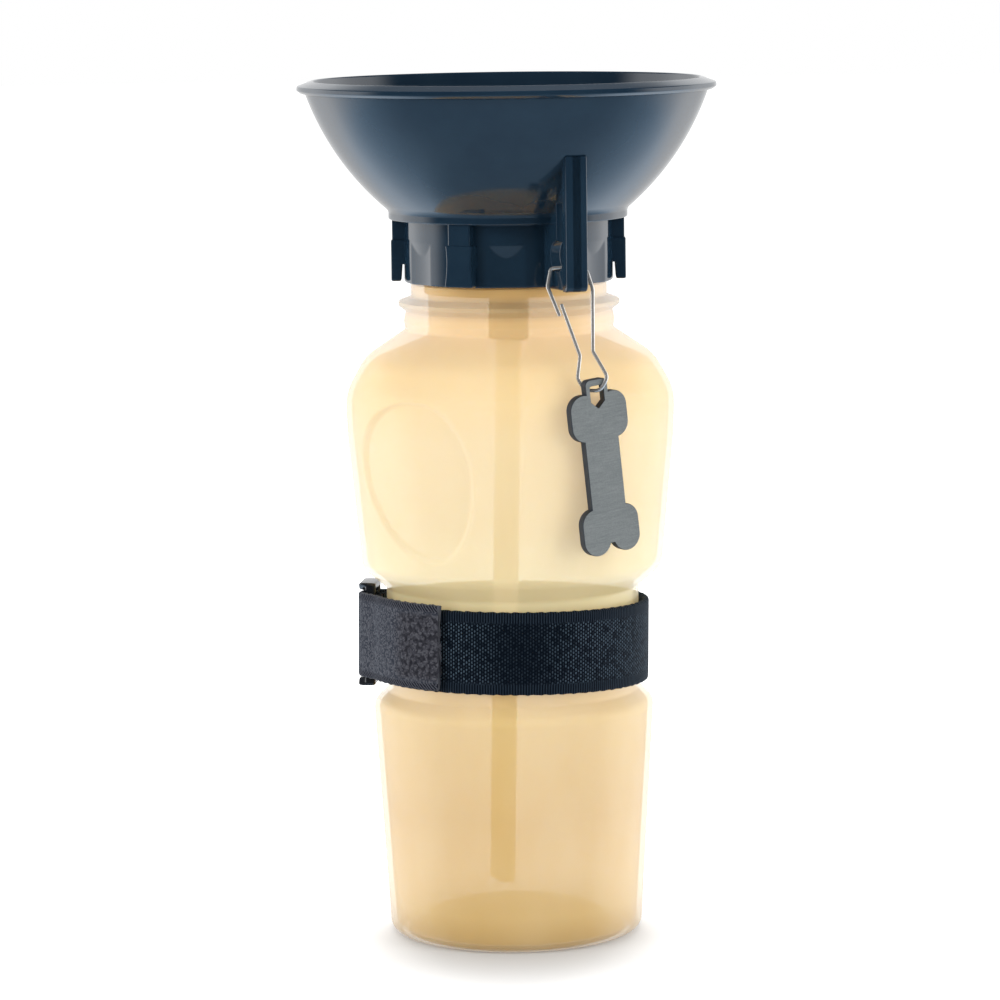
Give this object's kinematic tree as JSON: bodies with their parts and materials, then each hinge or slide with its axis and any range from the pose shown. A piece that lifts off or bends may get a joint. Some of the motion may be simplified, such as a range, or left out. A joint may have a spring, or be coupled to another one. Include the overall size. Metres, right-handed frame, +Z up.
{
  "type": "dog travel water bottle",
  "caption": "Squeeze bottle for a dog with a screw-on drinking bowl, dip tube, twist valve, hook-and-loop hand strap, wire clip and bone-shaped tag.",
  "frame": {"origin": "on the bottle's axis at the table, under the middle of the foot", "axes": "+Z up along the bottle's axis; -Y towards the viewer; +X to the viewer's right; azimuth 0 is -Y and 90 is +X"},
  "size_m": [0.1048, 0.1048, 0.2162],
  "materials": {
    "bottle": "pearly translucent squeeze plastic",
    "bowl": "glossy dark navy moulding",
    "insert": "dark moulding",
    "seal": "grey silicone",
    "tube": "milky tube",
    "strap": "black woven loop webbing",
    "hooks": "black hook tape",
    "thread": "black sewing thread",
    "buckle": "black moulding",
    "wire": "bright plated spring wire",
    "tag": "brushed dark grey face with dark cut edges"
  },
  "bodies": {
    "bottle": {"bottle_body": "bottle", "strap_band": "strap", "hook_patch": "hooks", "strap_stitches": "thread", "buckle_ring": "buckle"},
    "tube_unit": {"tube_insert": "insert", "insert_seal": "seal", "dip_tube": "tube"},
    "seal_carrier": {"neck_seal": "seal"},
    "bowl": {"drinking_bowl": "bowl", "valve_plug": "seal", "strainer_cap": "bowl"},
    "clip": {"clip_wire": "wire"},
    "gate": {"clip_gate": "wire"},
    "tag": {"bone_tag": "tag"}
  },
  "joints": [
    {"name": "top_lift_off", "type": "slide", "parent": "bottle", "child": "tube_unit", "axis": [0, 0, 1], "range_m": [0, 0.2]},
    {"name": "bowl_rise", "type": "slide", "parent": "tube_unit", "child": "seal_carrier", "axis": [0, 0, 1], "range_m": [0, 0.0078]},
    {"name": "bowl_turn", "type": "hinge", "parent": "seal_carrier", "child": "bowl", "pos_m": [0, 0, 0.174], "axis": [0, 0, 1], "range_deg": [0, 600]},
    {"name": "clip_swing", "type": "hinge", "parent": "bowl", "child": "clip", "pos_m": [0.01289, -0.03131, 0.17117], "axis": [-0.9397, 0.342, 0], "range_deg": [0, 28]},
    {"name": "gate_open", "type": "hinge", "parent": "clip", "child": "gate", "pos_m": [0.01693, -0.03646, 0.14934], "axis": [0.3378, 0.9281, -0.1564], "range_deg": [0, 22], "stiffness_Nm_per_rad": 0.006, "springref_deg": -8.59},
    {"name": "tag_swing", "type": "hinge", "parent": "clip", "child": "tag", "pos_m": [0.02041, -0.039, 0.14179], "axis": [-0.9397, 0.342, 0], "range_deg": [0, 30]}
  ],
  "couplings": [
    {"joint": "bowl_rise", "follows": "bowl_turn", "m_per_rad": 0.0007162}
  ]
}
